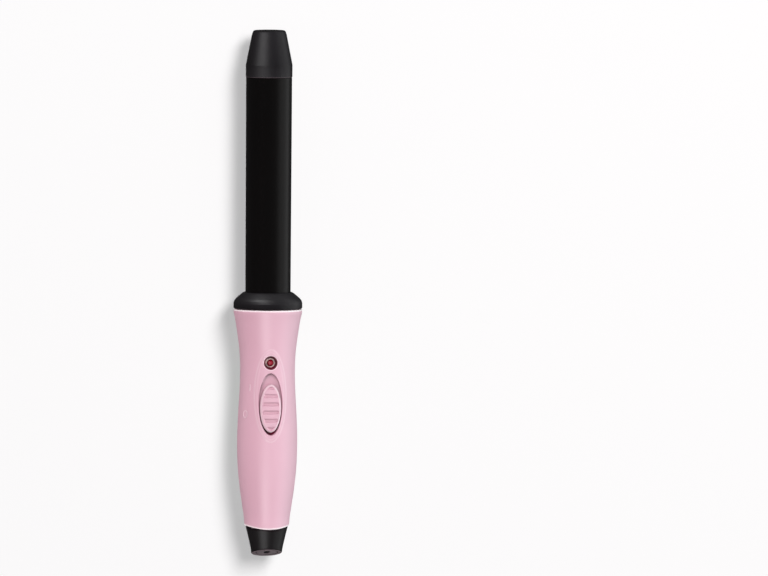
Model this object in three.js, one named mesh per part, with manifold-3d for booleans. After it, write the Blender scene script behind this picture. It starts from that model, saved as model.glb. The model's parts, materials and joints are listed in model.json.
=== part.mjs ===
// Curling wand: ceramic coated barrel, cool tip, two-part handle with a sliding switch, tapered end cap
// with a cord swivel, and the heater, switch and wiring parts inside. Millimetres, +Z up.
// The wand lies along Y with its tip at +Y and its switch facing +Z.
import * as THREE from 'three';
import { mergeVertices } from 'three/addons/utils/BufferGeometryUtils.js';
import Module from 'manifold-3d';

const wasm = await Module();
wasm.setup();

// Driving dimensions. Y = 0 is just in front of the collar, where the barrel comes out of it.
const GAP = 0.3; // clearance between neighbouring pieces
const BARREL_R = 9.5; // 19 mm barrel
const BARREL_WALL = 1.0;
const BARREL_BORE_R = BARREL_R - BARREL_WALL;
const BARREL_FRONT_Y = 88.6;
const BARREL_REAR_Y = -14.0;
const TIP_TOP_Y = 108.1;
const TIP_TOP_R = 6.6;
const TIP_BAND_R = 9.66;
const TIP_BAND_Y = 93.8;
const COLLAR_R = 14.25; // across the flats of the 24-sided collar rim
const COLLAR_SIDES = 24;
const COLLAR_FRONT_Y = -0.4;
const COLLAR_REAR_Y = -7.1;
const HEATER_THICKNESS = 2.6;
const MOUNT_FLANGE_R = 10.3;
const HANDLE_WALL = 1.8;
const HANDLE_SIDES = 40;
const SEAM_HALF_GAP = 0.15; // half the gap between the front and the rear half of the handle
const CAP_SEAM_SIDE_Y = -97.25; // where the handle ends at its two sides
const CAP_SEAM_DIP = 1.42; // how much further back it ends in the middle
const CAP_SEAM_HALF_WIDTH = 9.2;
const END_SLANT = THREE.MathUtils.degToRad(15.5); // the end face leans towards the switch side
const END_FACE_Y = -108.65; // the slanted end face on the wand's axis
const SWIVEL_OFFSET_Z = 0.8;
const SWIVEL_R = 4.4;
const SWIVEL_FLANGE_R = 5.0;
const INLET_WIDTH = 2.6; // the oval cord inlet
const INLET_LENGTH = 5.6;
const SLOT_Y = -46.3; // centre of the switch recess
const SLOT_LENGTH = 25.5;
const SLOT_WIDTH = 9.7;
const SLOT_FLOOR_Z = 9.7;
const SLOT_FLOOR_THICKNESS = 1.6;
const KNOB_Y = -48.0; // centre of the knob at rest, which is off
const KNOB_LENGTH = 19.9;
const KNOB_WIDTH = 8.7;
const KNOB_TRAVEL = 4.0;
const KNOB_GROOVES = 6;
const KNOB_GROOVE_PITCH = 3.4;
const LIGHT_Y = -29.2;
const LIGHT_HOLE_R = 2.55;
const ON_MARK_ANGLE = THREE.MathUtils.degToRad(-46); // from the switch round to the mark
const OFF_MARK_ANGLE = THREE.MathUtils.degToRad(-56);
const ON_MARK_Y = -39.6;
const OFF_MARK_Y = -50.6;
const BOARD_Z = 0.2; // underside of the circuit board
const BOARD_THICKNESS = 1.6;
const HANDLE_SCREW_Y = [-23.0, -78.0];
const BOARD_SCREW_Y = [-36.0, -60.5];
const LENGTH_CENTRE_Y = -1.14;

// Outside of the handle as radius and Y, from its rear end to its front rim.
const HANDLE_PROFILE = [
  [9.05, -99.8], [9.28, -96.5], [9.56, -93.2], [10.58, -86.5], [11.66, -78.2], [12.29, -70.0],
  [12.45, -61.7], [12.2, -53.4], [11.75, -45.1], [11.38, -36.8], [11.38, -28.6], [12.2, -20.3],
  [12.78, -16.1], [13.46, -12.0], [14.19, -8.8], [14.19, -7.85], [13.9, -7.4],
];

// Outside of the end cap as radius and Y, from its rear end to its front edge.
const CAP_PROFILE = [
  [6.1, -112.5], [6.33, -110.0], [6.42, -108.0], [6.81, -105.6], [7.2, -103.9], [7.58, -102.3],
  [7.94, -100.6], [8.36, -99.0], [8.8, -97.9], [8.9, -96.6],
];

const PINK = 0xe4becc;
const DARK = 0x2b292b;
const CHARCOAL = 0x3a383b;
const BRASS = 0xc9a227;
const STEEL = 0xb8bbc0;

const group = new THREE.Group();
group.name = 'curling_wand';
group.position.set(0, -LENGTH_CENTRE_Y, COLLAR_R);

function toSolid(geometry) {
  const bare = new THREE.BufferGeometry();
  bare.setAttribute('position', geometry.getAttribute('position').clone());
  bare.setIndex(geometry.index);
  const merged = mergeVertices(bare, 1e-4);
  const corners = merged.index.array;
  const kept = [];
  for (let i = 0; i < corners.length; i += 3) {
    const [a, b, c] = corners.slice(i, i + 3);
    if (a !== b && b !== c && c !== a) {
      kept.push(a, b, c);
    }
  }
  const mesh = new wasm.Mesh({
    numProp: 3,
    vertProperties: new Float32Array(merged.getAttribute('position').array),
    triVerts: new Uint32Array(kept),
  });
  return new wasm.Manifold(mesh);
}

function join(...solids) {
  return solids.reduce((whole, part) => whole.add(part));
}

function cut(solid, ...tools) {
  return tools.reduce((rest, tool) => rest.subtract(tool), solid);
}

// A solid of revolution about the wand's axis. A profile that leaves the axis open is closed on itself.
function turned(profile, sides, placeIt) {
  const points = profile.map(([radius, y]) => new THREE.Vector2(radius, y));
  if (profile[0][0] > 0) {
    points.push(points[0].clone());
  }
  const geometry = new THREE.LatheGeometry(points, sides, Math.PI / sides);
  if (placeIt) {
    placeIt(geometry);
  }
  return toSolid(geometry);
}

function solidOfRevolution(profile, sides, placeIt) {
  const first = [0, profile[0][1]];
  const last = [0, profile[profile.length - 1][1]];
  return turned([first, ...profile, last], sides, placeIt);
}

function rod(radius, fromY, toY, sides, placeIt) {
  return solidOfRevolution([[radius, fromY], [radius, toY]], sides, placeIt);
}

function ring(innerR, outerR, fromY, toY, sides, placeIt) {
  const profile = [[innerR, fromY], [outerR, fromY], [outerR, toY], [innerR, toY]];
  return turned(profile, sides, placeIt);
}

function box(lowX, highX, lowY, highY, lowZ, highZ) {
  const geometry = new THREE.BoxGeometry(highX - lowX, highY - lowY, highZ - lowZ);
  geometry.translate((lowX + highX) / 2, (lowY + highY) / 2, (lowZ + highZ) / 2);
  return toSolid(geometry);
}

// Stands a turned piece upright at (x, y), so that its own Y runs along Z.
function upright(x, y) {
  return (geometry) => geometry.rotateX(Math.PI / 2).translate(x, y, 0);
}

// A pan head screw with a cross recess: its own Y runs from the top of the head towards its tip.
function screw(headR, headHeight, shankR, shankLength, placeIt) {
  const tipY = headHeight + shankLength;
  const whole = solidOfRevolution([[headR - 0.4, 0], [headR, 0.5], [headR, headHeight],
    [shankR, headHeight], [shankR, tipY - 0.8], [0.3, tipY]], 16, placeIt);
  const arm = headR * 0.55;
  const across = new THREE.BoxGeometry(2 * arm, 1.2, 0.6);
  const along = new THREE.BoxGeometry(0.6, 1.2, 2 * arm);
  placeIt(across);
  placeIt(along);
  return cut(whole, toSolid(across), toSolid(along));
}

function alongAxis(y) {
  return (geometry) => geometry.translate(0, y, 0);
}

// Moves a piece sideways off the wand's axis.
function beside(x) {
  return (geometry) => geometry.translate(x, 0, 0);
}

function alongUp(x, y, z) {
  return (geometry) => geometry.rotateX(Math.PI / 2).translate(x, y, z);
}

// Puts a turned piece on the swivel's slanted axis, so that its own Y is the depth inside the end face.
function onSwivelAxis(geometry) {
  const faceY = END_FACE_Y + SWIVEL_OFFSET_Z * Math.tan(END_SLANT);
  geometry.rotateX(-END_SLANT).translate(0, faceY, SWIVEL_OFFSET_Z);
}

// An oval outline, long in Y.
function ellipseShape(width, length) {
  const shape = new THREE.Shape();
  shape.absellipse(0, 0, width / 2, length / 2, 0, 2 * Math.PI, false, 0);
  return shape;
}

function prism(shape, lowZ, highZ, y, curveSegments) {
  const geometry = new THREE.ExtrudeGeometry(shape, {
    depth: highZ - lowZ,
    bevelEnabled: false,
    curveSegments,
  });
  geometry.translate(0, y, lowZ);
  return toSolid(geometry);
}

// A thin bent strip with its outline in the YZ plane, as wide as given in X.
function bentStrip(outline, width, placeIt) {
  const shape = new THREE.Shape(outline.map(([y, z]) => new THREE.Vector2(z, y)));
  const geometry = new THREE.ExtrudeGeometry(shape, { depth: width, bevelEnabled: false });
  geometry.translate(0, 0, -width / 2);
  geometry.rotateY(-Math.PI / 2);
  placeIt(geometry);
  return toSolid(geometry);
}

function wire(points, radius) {
  const path = new THREE.CatmullRomCurve3(points.map(([x, y, z]) => new THREE.Vector3(x, y, z)));
  const section = new THREE.Shape();
  section.absarc(0, 0, radius, 0, 2 * Math.PI, false);
  const geometry = new THREE.ExtrudeGeometry(section, {
    steps: 14,
    curveSegments: 4,
    extrudePath: path,
    bevelEnabled: false,
  });
  return toSolid(geometry);
}

function addPiece(name, solid, color, roughness, metalness) {
  const { vertProperties, triVerts, numProp } = solid.getMesh();
  const positions = [];
  for (let i = 0; i < vertProperties.length; i += numProp) {
    positions.push(vertProperties[i], vertProperties[i + 1], vertProperties[i + 2]);
  }
  const geometry = new THREE.BufferGeometry();
  geometry.setAttribute('position', new THREE.Float32BufferAttribute(positions, 3));
  geometry.setIndex([...triVerts]);
  geometry.computeVertexNormals();
  const material = new THREE.MeshStandardMaterial({ color, roughness, metalness, flatShading: true });
  const mesh = new THREE.Mesh(geometry, material);
  mesh.name = name;
  group.add(mesh);
}

// Barrel, cool tip and the screw that holds the tip.
function addBarrel() {
  const innerR = BARREL_R - BARREL_WALL;
  addPiece('barrel', ring(innerR, BARREL_R, BARREL_REAR_Y, BARREL_FRONT_Y, 40), 0x141213, 0.35, 0.1);
}

function addCoolTip() {
  const bandRear = BARREL_FRONT_Y + GAP;
  const shell = turned([
    [0, 80.3], [3.2, 80.3], [3.2, 104.3], [5.4, 104.3], [6.6, 98.0], [6.6, 80.0],
    [BARREL_BORE_R - GAP, 80.0], [BARREL_BORE_R - GAP, bandRear], [TIP_BAND_R - 0.2, bandRear],
    [TIP_BAND_R, bandRear + 0.3], [TIP_BAND_R, TIP_BAND_Y - 0.5], [9.55, TIP_BAND_Y + 0.2],
    [9.2, 95.6], [8.46, 99.8], [7.7, 103.9], [7.15, 106.8], [TIP_TOP_R, TIP_TOP_Y - 0.2],
    [TIP_TOP_R - 0.5, TIP_TOP_Y], [0, TIP_TOP_Y],
  ], 32);
  addPiece('cool_tip', cut(shell, rod(1.55, 80, 93, 12)), CHARCOAL, 0.55, 0);
  const plate = ring(1.55, BARREL_BORE_R - GAP, 78.4, 79.7, 32);
  addPiece('tip_anchor_plate', plate, STEEL, 0.4, 0.9);
  addPiece('tip_anchor_screw', screw(2.6, 1.7, 1.25, 13.8, alongAxis(76.4)), STEEL, 0.35, 0.9);
}

// Heater plate between two aluminium half rounds, the fuse in line with it, and the plug that holds the barrel.
function addHeater() {
  const spreaderR = BARREL_BORE_R - GAP;
  const flatZ = HEATER_THICKNESS / 2 + GAP;
  const wholeRound = rod(spreaderR, 10, 74, 40);
  const frontBlock = cut(wholeRound, box(-10, 10, 9, 75, -10, flatZ));
  const rearBlock = cut(wholeRound, box(-10, 10, 9, 75, -flatZ, 10));
  const half = HEATER_THICKNESS / 2;
  addPiece('heat_spreader_front', frontBlock, 0xb4b7ba, 0.45, 0.9);
  addPiece('heat_spreader_rear', rearBlock, 0xb4b7ba, 0.45, 0.9);
  addPiece('ceramic_heater', box(-6.5, 6.5, 7, 75, -half, half), 0xe8e2d4, 0.7, 0);
  const fuse = join(rod(1.5, -5.5, 3.5, 16, beside(3)), rod(0.4, 3.4, 6.7, 8, beside(3)));
  addPiece('thermal_fuse', fuse, 0xd8d2c2, 0.6, 0);
}

function addBarrelMount() {
  const plug = turned([
    [4.0, -16.8], [MOUNT_FLANGE_R, -16.8], [MOUNT_FLANGE_R, BARREL_REAR_Y - GAP],
    [BARREL_BORE_R - GAP, BARREL_REAR_Y - GAP], [BARREL_BORE_R - GAP, -8.0], [4.0, -8.0],
  ], 40);
  addPiece('barrel_mount', plug, 0x6b4a32, 0.7, 0);
}

function addHeaterLeads() {
  for (const [name, side, startY, color] of [
    ['heater_lead_left', -1, 6.7, 0xd9d9d4],
    ['heater_lead_right', 1, -5.8, 0xd9d9d4],
  ]) {
    const lead = wire([
      [side * 3, startY, 0], [side * 3, -11, 0], [side * 3, -16.8, 0], [side * 5.1, -21.5, 0.4],
      [side * 5.2, -27.3, 1.0],
    ], 0.65);
    addPiece(name, lead, color, 0.6, 0);
  }
}

// The 24-sided ring that covers the joint between the barrel and the handle.
function addCollar() {
  const cornerR = COLLAR_R / Math.cos(Math.PI / COLLAR_SIDES);
  const grown = cornerR / COLLAR_R;
  const boreR = BARREL_R + GAP + 0.15;
  const profile = [
    [boreR, -11.0], [11.9, -11.0], [11.9, COLLAR_REAR_Y], [14.05 * grown, COLLAR_REAR_Y],
    [cornerR, COLLAR_REAR_Y + 0.25], [cornerR, -4.9], [13.95 * grown, -3.7], [13.3 * grown, -3.0],
    [12.5 * grown, -2.25], [11.5 * grown, -1.45], [10.5 * grown, -0.75],
    [boreR + 0.2, COLLAR_FRONT_Y], [boreR, COLLAR_FRONT_Y],
  ];
  addPiece('barrel_collar', turned(profile, COLLAR_SIDES), CHARCOAL, 0.5, 0);
}

// The handle's outside follows HANDLE_PROFILE. Its cavity holds the collar's spigot, the barrel mount's
// flange between two ribs, and the end cap's neck behind a third rib.
function handleWall() {
  const outside = solidOfRevolution(HANDLE_PROFILE, HANDLE_SIDES);
  const followsOutside = HANDLE_PROFILE
    .filter(([, y]) => y > -93 && y < -20)
    .map(([radius, y]) => [radius - HANDLE_WALL, y]);
  const inside = solidOfRevolution([
    [6.95, -101], [6.95, -94.8], [7.7, -94.2], ...followsOutside, [10.4, -19.3], [8.6, -19.1],
    [8.6, -17.1], [MOUNT_FLANGE_R + 0.4, -17.1], [MOUNT_FLANGE_R + 0.4, -14.0], [9.9, -14.0],
    [9.9, -11.3], [12.25, -11.3], [12.25, -6.0],
  ], HANDLE_SIDES);
  return cut(outside, inside, belowCapSeam(GAP / 2));
}

// Everything behind the curved line where the handle meets the end cap, moved by the given amount.
function belowCapSeam(shift) {
  const half = CAP_SEAM_HALF_WIDTH;
  const middleY = CAP_SEAM_SIDE_Y - CAP_SEAM_DIP;
  const shape = new THREE.Shape();
  const reach = 2 * half;
  shape.moveTo(-reach, -120);
  shape.lineTo(reach, -120);
  for (let i = 0; i <= 16; i += 1) {
    const x = half * 1.4 * (1 - i / 8);
    shape.lineTo(x, middleY + CAP_SEAM_DIP * (x / half) ** 2 + shift);
  }
  return prism(shape, -20, 20, 0, 1);
}

function addHandle() {
  const wall = handleWall();
  addPiece('handle_front_shell', frontShell(wall), PINK, 0.45, 0);
  addPiece('handle_rear_shell', rearShell(wall), PINK, 0.45, 0);
  for (const [name, y] of [
    ['handle_screw_front', HANDLE_SCREW_Y[0]],
    ['handle_screw_rear', HANDLE_SCREW_Y[1]],
  ]) {
    addPiece(name, screw(2.4, 1.7, 1.25, 13.5, alongUp(0, y, -8.2)), STEEL, 0.35, 0.9);
  }
}

function frontShell(wall) {
  let shell = cut(wall, box(-20, 20, -120, 0, -20, SEAM_HALF_GAP));
  const floorBottom = SLOT_FLOOR_Z - SLOT_FLOOR_THICKNESS;
  shell = join(shell, box(-5.6, 5.6, -63.0, -32.4, floorBottom, SLOT_FLOOR_Z));
  for (const y of HANDLE_SCREW_Y) {
    shell = join(shell, rod(2.9, SEAM_HALF_GAP, 10.7, 20, upright(0, y)));
    shell = cut(shell, rod(1.55, SEAM_HALF_GAP - 1, 8, 12, upright(0, y)));
  }
  for (const y of BOARD_SCREW_Y) {
    const postBottom = BOARD_Z + BOARD_THICKNESS + GAP;
    shell = join(shell, rod(2.2, postBottom, floorBottom + 0.5, 16, upright(0, y)));
    shell = cut(shell, rod(1.05, postBottom - 1, 7.6, 12, upright(0, y)));
  }
  const recess = prism(ellipseShape(SLOT_WIDTH, SLOT_LENGTH), SLOT_FLOOR_Z, 20, SLOT_Y, 16);
  const stemSlot = box(-1.6, 1.6, KNOB_Y - 3.1, KNOB_Y + 3.1 + KNOB_TRAVEL, 5, 12);
  const lightHole = rod(LIGHT_HOLE_R, 6, 20, 24, upright(0, LIGHT_Y));
  const lightBevel = solidOfRevolution([[2.2, 10.7], [3.3, 11.8]], 24, upright(0, LIGHT_Y));
  shell = cut(shell, recess, stemSlot, lightHole, lightBevel);
  return join(shell, onMark(), offMark()).subtract(box(-20, 20, -120, 0, -20, SEAM_HALF_GAP));
}

function rearShell(wall) {
  let shell = cut(wall, box(-20, 20, -120, 0, -SEAM_HALF_GAP, 20));
  for (const y of HANDLE_SCREW_Y) {
    shell = join(shell, rod(3.9, -10.7, -SEAM_HALF_GAP, 20, upright(0, y)));
    shell = cut(shell, rod(1.55, -20, 1, 12, upright(0, y)));
    shell = cut(shell, rod(2.8, -20, -6.2, 20, upright(0, y)));
  }
  return shell;
}

// A bar for on and a ring for off, moulded a little proud of the handle beside the switch.
function onMark() {
  const bar = new THREE.BoxGeometry(0.6, 2.8, 1.2);
  bar.translate(0, 0, 11.45 - 0.35);
  bar.rotateY(ON_MARK_ANGLE);
  bar.translate(0, ON_MARK_Y, 0);
  return toSolid(bar);
}

function offMark() {
  return ring(0.85, 1.4, 11.0, 12.2, 16, (geometry) => {
    geometry.rotateX(Math.PI / 2).rotateY(OFF_MARK_ANGLE).translate(0, OFF_MARK_Y, 0);
  });
}

// The knob slides in the recess. Two prongs under it reach through the floor and straddle the lever.
function addSwitch() {
  const bottomZ = SLOT_FLOOR_Z + GAP;
  let knob = knobTop(bottomZ);
  for (let i = 0; i < KNOB_GROOVES; i += 1) {
    const offset = (i - (KNOB_GROOVES - 1) / 2) * KNOB_GROOVE_PITCH;
    const halfWidth = (KNOB_WIDTH / 2 - 1.1) * Math.sqrt(1 - (offset / (KNOB_LENGTH / 2)) ** 2);
    const y = KNOB_Y + offset;
    knob = cut(knob, box(-halfWidth, halfWidth, y - 0.6, y + 0.6, 12.1, 14));
  }
  for (const y of [KNOB_Y - 2.7, KNOB_Y + 1.5]) {
    knob = join(knob, box(-1.2, 1.2, y, y + 1.2, 7.4, bottomZ + 0.5));
  }
  addPiece('switch_knob', knob, PINK, 0.45, 0);
  addPiece('switch_lever', box(-1.2, 1.2, KNOB_Y - 1.2, KNOB_Y + 1.2, 6.0, 9.0), 0xe6e3dc, 0.5, 0);
  const body = box(-3, 3, SLOT_Y - 5.7, SLOT_Y + 6.3, BOARD_Z + BOARD_THICKNESS + GAP, 7.1);
  const pocket = box(-1.5, 1.5, KNOB_Y - 1.5, KNOB_Y + 1.5 + KNOB_TRAVEL, 5.7, 8);
  addPiece('switch_body', cut(body, pocket), 0x1d1d1f, 0.6, 0);
}

// The knob's top is an oval that gets smaller towards its crown.
function knobTop(bottomZ) {
  const slices = [[bottomZ, 12.2, 0], [12.1, 12.55, 0.5], [12.4, 12.8, 1.1]];
  const layers = slices.map(([low, high, inset]) => {
    const shape = ellipseShape(KNOB_WIDTH - 2 * inset, KNOB_LENGTH - 2 * inset);
    return prism(shape, low, high, KNOB_Y, 14);
  });
  return join(...layers);
}

function addBoard() {
  const top = BOARD_Z + BOARD_THICKNESS;
  let board = box(-7, 7, -66.0, -27.6, BOARD_Z, top);
  for (const y of BOARD_SCREW_Y) {
    board = cut(board, rod(1.05, -1, 3, 12, upright(0, y)));
  }
  addPiece('circuit_board', board, 0x2f6b3c, 0.6, 0);
  for (const [name, y] of [
    ['board_screw_front', BOARD_SCREW_Y[0]],
    ['board_screw_rear', BOARD_SCREW_Y[1]],
  ]) {
    addPiece(name, screw(1.8, 1.1, 0.75, 7.2, alongUp(0, y, BOARD_Z - GAP - 1.1)), STEEL, 0.35, 0.9);
  }
  const body = solidOfRevolution([[0.3, -2.4], [1.0, -2.4], [1.2, -1.8], [1.0, -1.2], [1.0, 1.2],
    [1.2, 1.8], [1.0, 2.4], [0.3, 2.4]], 14, (geometry) => geometry.translate(5.1, -34.5, 3.4));
  addPiece('light_resistor', body, 0xd6c49a, 0.6, 0);
}

function addPowerLight() {
  const dome = [];
  for (let i = 1; i <= 5; i += 1) {
    const angle = (i * Math.PI) / 12;
    dome.push([1.45 * Math.cos(angle), 9.45 + 1.45 * Math.sin(angle)]);
  }
  const profile = [[1.95, 7.9], [1.95, 8.9], [1.45, 8.9], [1.45, 9.45], ...dome, [0.15, 10.9]];
  addPiece('power_light', solidOfRevolution(profile, 20, upright(0, LIGHT_Y)), 0x8c1414, 0.25, 0);
  const legBottom = BOARD_Z + BOARD_THICKNESS + GAP;
  for (const [name, x] of [['light_leg_left', -1.27], ['light_leg_right', 1.27]]) {
    addPiece(name, box(x - 0.25, x + 0.25, LIGHT_Y - 0.25, LIGHT_Y + 0.25, legBottom, 7.6),
      STEEL, 0.3, 1);
  }
}

// The cap is trapped between the handle halves by its neck. Its bore and its end face are slanted.
function addEndCap() {
  const body = solidOfRevolution(CAP_PROFILE, 32).intersect(belowCapSeam(-GAP / 2));
  const neck = solidOfRevolution([[6.6, -102], [6.6, -94.5], [7.3, -94.3], [7.3, -92.8]], 32);
  const hollow = rod(5.6, -103.2, -90, 32);
  const swivelCavity = rod(SWIVEL_FLANGE_R + GAP, 4.0, 7.5, 32, onSwivelAxis);
  const swivelBore = rod(SWIVEL_R + GAP, -5, 5, 32, onSwivelAxis);
  const slant = new THREE.BoxGeometry(30, 20, 40);
  slant.translate(0, -10, 0).rotateX(-END_SLANT).translate(0, END_FACE_Y, 0);
  const cap = cut(join(body, neck), hollow, swivelCavity, swivelBore, toSolid(slant));
  addPiece('end_cap', cap, DARK, 0.5, 0);
}

// The swivel bush turns in the cap with its two contacts. All of them lie on the slanted axis.
function addSwivel() {
  const bush = solidOfRevolution([[SWIVEL_R, 0], [SWIVEL_R, 4.3], [SWIVEL_FLANGE_R, 4.3],
    [SWIVEL_FLANGE_R, 5.7]], 32, onSwivelAxis);
  const inletGeometry = new THREE.ExtrudeGeometry(ellipseShape(INLET_WIDTH, INLET_LENGTH), {
    depth: 4.2, bevelEnabled: false, curveSegments: 10,
  });
  inletGeometry.rotateX(Math.PI / 2).translate(0, 3.2, 0);
  onSwivelAxis(inletGeometry);
  const contactGroove = ring(2.9, 4.5, 5.0, 7.0, 32, onSwivelAxis);
  const pinHole = rod(1.2, 4.2, 7.0, 16, onSwivelAxis);
  addPiece('cord_swivel', cut(bush, toSolid(inletGeometry), contactGroove, pinHole), CHARCOAL, 0.5, 0);
  addPiece('swivel_ring', ring(3.2, 4.2, 5.3, 6.6, 32, onSwivelAxis), BRASS, 0.3, 0.9);
  addPiece('swivel_pin', rod(0.9, 4.5, 8.4, 16, onSwivelAxis), BRASS, 0.3, 0.9);
}

function addBrushes() {
  addPiece('brush_holder', rod(5.3, -95.5, -94.0, 32), 0xe6e3dc, 0.6, 0);
  const pinBrush = [[12.8, 1.5], [9.2, 1.2], [8.7, 0.5], [8.7, -1.2], [9.1, -1.2], [9.1, 0.3],
    [9.5, 0.8], [12.8, 1.1]];
  const ringBrush = [[11.9, 4.2], [7.3, 4.0], [6.9, 3.8], [6.9, 3.2], [7.3, 3.2], [7.3, 3.6],
    [11.9, 3.8]];
  addPiece('pin_brush', bentStrip(pinBrush, 2.0, onSwivelAxis), BRASS, 0.35, 0.9);
  addPiece('ring_brush', bentStrip(ringBrush, 2.0, onSwivelAxis), BRASS, 0.35, 0.9);
  for (const [name, side, color] of [
    ['supply_wire_left', -1, 0x2a2a2c],
    ['supply_wire_right', 1, 0xd9d9d4],
  ]) {
    const lead = wire([
      [side * 2.5, -93.7, 0], [side * 3.2, -90, 0.1], [side * 5.2, -84, 0.4],
      [side * 5.2, -72, 0.8], [side * 4.6, -66.3, 1.0],
    ], 0.8);
    addPiece(name, lead, color, 0.6, 0);
  }
}

addBarrel();
addCoolTip();
addHeater();
addBarrelMount();
addHeaterLeads();
addCollar();
addHandle();
addSwitch();
addBoard();
addPowerLight();
addEndCap();
addSwivel();
addBrushes();

export default group;
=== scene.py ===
# Looks of the curling wand: detailed pieces around the CAD frame, materials, floor, light and camera.
import json
import math

import bmesh
import bpy
import numpy as np
from mathutils import Matrix, Vector


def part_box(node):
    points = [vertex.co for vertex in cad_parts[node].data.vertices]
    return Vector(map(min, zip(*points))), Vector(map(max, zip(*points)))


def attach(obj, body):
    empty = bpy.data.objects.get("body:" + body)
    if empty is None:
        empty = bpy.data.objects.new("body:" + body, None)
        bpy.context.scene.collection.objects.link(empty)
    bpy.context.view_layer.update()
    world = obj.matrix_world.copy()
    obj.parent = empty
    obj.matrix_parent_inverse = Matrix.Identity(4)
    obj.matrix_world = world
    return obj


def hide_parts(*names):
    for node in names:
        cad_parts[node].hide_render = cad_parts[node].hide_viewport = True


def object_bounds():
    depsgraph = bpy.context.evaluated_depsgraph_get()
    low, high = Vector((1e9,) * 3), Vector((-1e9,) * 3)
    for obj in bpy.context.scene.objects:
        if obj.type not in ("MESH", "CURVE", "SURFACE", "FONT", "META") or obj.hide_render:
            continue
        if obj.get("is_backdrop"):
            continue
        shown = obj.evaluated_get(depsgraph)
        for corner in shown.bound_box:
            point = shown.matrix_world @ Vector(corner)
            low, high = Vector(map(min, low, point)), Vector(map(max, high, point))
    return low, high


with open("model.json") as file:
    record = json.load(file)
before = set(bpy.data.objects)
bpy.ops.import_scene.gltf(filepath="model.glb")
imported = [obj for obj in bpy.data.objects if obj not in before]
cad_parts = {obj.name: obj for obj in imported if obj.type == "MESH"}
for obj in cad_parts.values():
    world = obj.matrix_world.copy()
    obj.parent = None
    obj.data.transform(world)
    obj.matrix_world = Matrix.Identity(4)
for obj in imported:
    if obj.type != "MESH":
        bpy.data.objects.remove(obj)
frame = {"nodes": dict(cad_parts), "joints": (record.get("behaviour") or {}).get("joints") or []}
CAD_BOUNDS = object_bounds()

MM = 0.001

# ---------------------------------------------------------------- places taken from the CAD frame
# Pieces are shaped in millimetres in a wand frame: Z = 0 on the axis, Y = 0 just in front of the collar.
BARREL_FRONT = 88.6
AXIS_Z = sum((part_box("barrel")[i].z for i in (0, 1))) / 2
FRONT_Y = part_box("barrel")[1].y - BARREL_FRONT * MM
ORIGIN = np.array([0.0, FRONT_Y, AXIS_Z])


def local_box(node):
    low, high = (np.array(corner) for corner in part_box(node))
    return (low - ORIGIN) / MM, (high - ORIGIN) / MM


BARREL_LOW, BARREL_HIGH = local_box("barrel")
TIP_LOW, TIP_HIGH = local_box("cool_tip")
COLLAR_LOW, COLLAR_HIGH = local_box("barrel_collar")
SHELL_LOW, SHELL_HIGH = local_box("handle_front_shell")
CAP_LOW, CAP_HIGH = local_box("end_cap")
KNOB_LOW, KNOB_HIGH = local_box("switch_knob")
LIGHT_LOW, LIGHT_HIGH = local_box("power_light")
SWIVEL = next(j for j in frame["joints"] if j["name"] == "cord_swivel_turn")
SWIVEL_POINT = (np.array(SWIVEL["pos_m"]) - ORIGIN) / MM
SWIVEL_OUT = np.array(SWIVEL["axis"])  # out of the end face

BARREL_R = BARREL_HIGH[0]
COLLAR_R = COLLAR_HIGH[0]
KNOB_Y = (KNOB_LOW[1] + KNOB_HIGH[1]) / 2
KNOB_A = (KNOB_HIGH[0] - KNOB_LOW[0]) / 2
KNOB_B = (KNOB_HIGH[1] - KNOB_LOW[1]) / 2
LIGHT_Y = (LIGHT_LOW[1] + LIGHT_HIGH[1]) / 2

# ---------------------------------------------------------------- sizes of the details, in millimetres
RECESS_A, RECESS_B = 4.85, 12.75  # half width and half length of the oval switch recess
RECESS_Y = KNOB_Y + 1.7
RECESS_FLOOR_Z = 9.7
LIGHT_HOLE_R = 2.55
BETWEEN_Y = -32.81  # the middle of the bridge between the recess and the light
PAD_A, PAD_B, PAD_Y = 6.6, 19.1, -42.8  # faint oval pad around the switch and the light
PAD_RISE = 0.16
WALL = 1.8
SEAM_SIDE_Y, SEAM_DIP, SEAM_HALF = -97.25, 1.42, 9.2  # curved joint between handle and end cap
SLANT = math.atan2(SWIVEL_OUT[2], -SWIVEL_OUT[1])
ON_MARK, OFF_MARK = (math.radians(-46), -39.6), (math.radians(-56), -50.6)
FRAME_WIDTH = 317.95  # what the picture shows from left to right, at the wand
AIM_RIGHT, AIM_UP, LEAN = 48.04, 1.27, 0.33

HANDLE_PROFILE = [  # Y and radius
    (-100.2, 9.0), (-96.5, 9.28), (-93.2, 9.56), (-90.7, 9.95), (-86.5, 10.58), (-82.4, 11.17),
    (-78.2, 11.66), (-74.1, 12.05), (-70.0, 12.29), (-65.8, 12.42), (-61.7, 12.45), (-57.5, 12.37),
    (-53.4, 12.2), (-49.3, 12.0), (-45.1, 11.75), (-41.0, 11.52), (-36.8, 11.38), (-32.7, 11.34),
    (-28.6, 11.42), (-24.4, 11.7), (-20.3, 12.2), (-16.1, 12.8), (-12.0, 13.46), (-10.4, 13.8),
    (-9.5, 14.02), (-8.7, 14.17), (-7.2, 14.2),
]
CAP_PROFILE = [
    (-112.5, 6.1), (-110.0, 6.31), (-108.0, 6.42), (-105.6, 6.81), (-103.9, 7.2), (-102.3, 7.58), (-100.6, 7.97),
    (-99.0, 8.38), (-97.9, 8.66), (-96.0, 9.0),
]


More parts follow.
